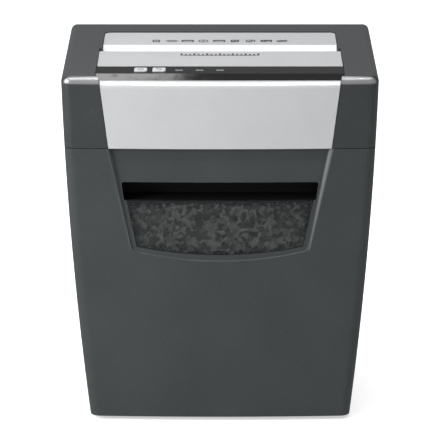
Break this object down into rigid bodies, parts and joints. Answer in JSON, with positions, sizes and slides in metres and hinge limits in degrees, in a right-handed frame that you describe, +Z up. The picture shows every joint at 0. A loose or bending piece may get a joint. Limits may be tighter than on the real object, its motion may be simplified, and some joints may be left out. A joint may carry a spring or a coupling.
{
  "type": "paper shredder",
  "caption": "Free-standing cross-cut paper shredder with a cutting head on a cabinet and a pull-out waste drawer with a smoked window.",
  "frame": {"origin": "middle of the footprint at the level of the feet", "axes": "+Z up, -Y out of the drawer front, +X to the right seen from the front"},
  "size_m": [0.363, 0.2655, 0.4248],
  "materials": {
    "dark_casing": "fine moulded grain, satin",
    "dark_drawer": "fine moulded grain, satin",
    "silver_panel": "silver lacquered plastic, satin gloss",
    "gloss_black": "polished black",
    "black_plastic": "plain moulded",
    "smoked_window": "smoked clear plastic",
    "grey_tub": "plain moulded",
    "cutter_steel": "milled and oiled hard steel",
    "zinc_steel": "zinc plated",
    "gear_nylon": "natural nylon",
    "gear_steel": "sintered steel",
    "brass": "turned",
    "copper_wire": "enamelled copper",
    "laminations": "stacked sheet",
    "board_green": "solder mask",
    "lens_clear": "frosted lens",
    "button_white": "satin key",
    "rubber_foot": "moulded rubber",
    "tan_film": "dipped capacitor film"
  },
  "bodies": {
    "machine": {"top_cover": "dark_casing", "rear_deck": "silver_panel", "front_deck": "silver_panel", "front_fascia": "silver_panel", "control_strip": "gloss_black", "indicator_lenses": "lens_clear", "head_base": "black_plastic", "throat_guide": "black_plastic", "paper_sensors": "black_plastic", "control_board": "board_green", "board_screws": "zinc_steel", "push_switches": "black_plastic", "indicator_leds": "lens_clear", "front_stripper_comb": "black_plastic", "rear_stripper_comb": "black_plastic", "left_side_plate": "zinc_steel", "right_side_plate": "zinc_steel", "cutter_bushes": "brass", "tie_rods": "zinc_steel", "chassis_screws": "zinc_steel", "idler_pins": "zinc_steel", "gearbox_plate": "zinc_steel", "gearbox_spacers": "zinc_steel", "motor_can": "zinc_steel", "motor_end_cap": "black_plastic", "motor_magnets": "laminations", "brush_holders": "brass", "motor_clamp": "zinc_steel", "power_board": "board_green", "relay": "gloss_black", "capacitor": "tan_film", "terminal_block": "board_green", "mains_switch": "black_plastic", "cord_gland": "black_plastic", "interlock_switch": "black_plastic", "cabinet_shell": "dark_casing", "rubber_feet": "rubber_foot", "bin_runners": "black_plastic"},
    "front_roller": {"front_cutter_roller": "cutter_steel", "front_sync_gear": "gear_steel", "roller_gear": "gear_steel"},
    "rear_roller": {"rear_cutter_roller": "cutter_steel", "rear_sync_gear": "gear_steel"},
    "second_gear": {"second_reduction_gear": "gear_steel"},
    "first_gear": {"first_reduction_gear": "gear_nylon"},
    "rotor": {"motor_pinion": "brass", "motor_armature": "laminations", "motor_windings": "copper_wire", "motor_commutator": "copper_wire", "motor_shaft": "cutter_steel", "motor_fan": "black_plastic"},
    "power_key": {"power_button": "button_white"},
    "reverse_key": {"reverse_button": "button_white"},
    "rocker": {"mains_rocker": "gloss_black"},
    "plunger": {"interlock_plunger": "button_white"},
    "drawer": {"bin_front": "dark_drawer", "bin_window": "smoked_window", "handle_pocket": "black_plastic", "bin_tub": "grey_tub", "bin_screws": "zinc_steel"}
  },
  "joints": [
    {"name": "drawer_slide", "type": "slide", "parent": "machine", "child": "drawer", "axis": [0, -1, 0], "range_m": [0, 0.24]},
    {"name": "plunger_slide", "type": "slide", "parent": "machine", "child": "plunger", "axis": [0, -1, 0], "range_m": [0, 0.003]},
    {"name": "rotor_spin", "type": "hinge", "parent": "machine", "child": "rotor", "pos_m": [0, -0.07982, 0.37168], "axis": [1, 0, 0], "continuous": true},
    {"name": "first_gear_spin", "type": "hinge", "parent": "machine", "child": "first_gear", "pos_m": [0, -0.06191, 0.35961], "axis": [1, 0, 0], "continuous": true},
    {"name": "second_gear_spin", "type": "hinge", "parent": "machine", "child": "second_gear", "pos_m": [0, -0.03798, 0.36977], "axis": [1, 0, 0], "continuous": true},
    {"name": "front_roller_spin", "type": "hinge", "parent": "machine", "child": "front_roller", "pos_m": [0, -0.009, 0.362], "axis": [1, 0, 0], "continuous": true},
    {"name": "rear_roller_spin", "type": "hinge", "parent": "machine", "child": "rear_roller", "pos_m": [0, 0.023, 0.362], "axis": [1, 0, 0], "continuous": true},
    {"name": "power_press", "type": "slide", "parent": "machine", "child": "power_key", "axis": [0, 0.0879, -0.9961], "range_m": [0, 0.001], "stiffness_N_per_m": 900},
    {"name": "reverse_press", "type": "slide", "parent": "machine", "child": "reverse_key", "axis": [0, 0.0879, -0.9961], "range_m": [0, 0.001], "stiffness_N_per_m": 900},
    {"name": "rocker_tilt", "type": "hinge", "parent": "machine", "child": "rocker", "pos_m": [0.112, 0.12763, 0.372], "axis": [-1, 0, 0], "range_deg": [0, 20]}
  ],
  "couplings": [
    {"joint": "plunger_slide", "follows": "drawer_slide", "ratio": 0.0125},
    {"joint": "first_gear_spin", "follows": "rotor_spin", "ratio": -0.22727},
    {"joint": "second_gear_spin", "follows": "rotor_spin", "ratio": 0.068182},
    {"joint": "front_roller_spin", "follows": "rotor_spin", "ratio": -0.022727},
    {"joint": "rear_roller_spin", "follows": "rotor_spin", "ratio": 0.022727}
  ]
}
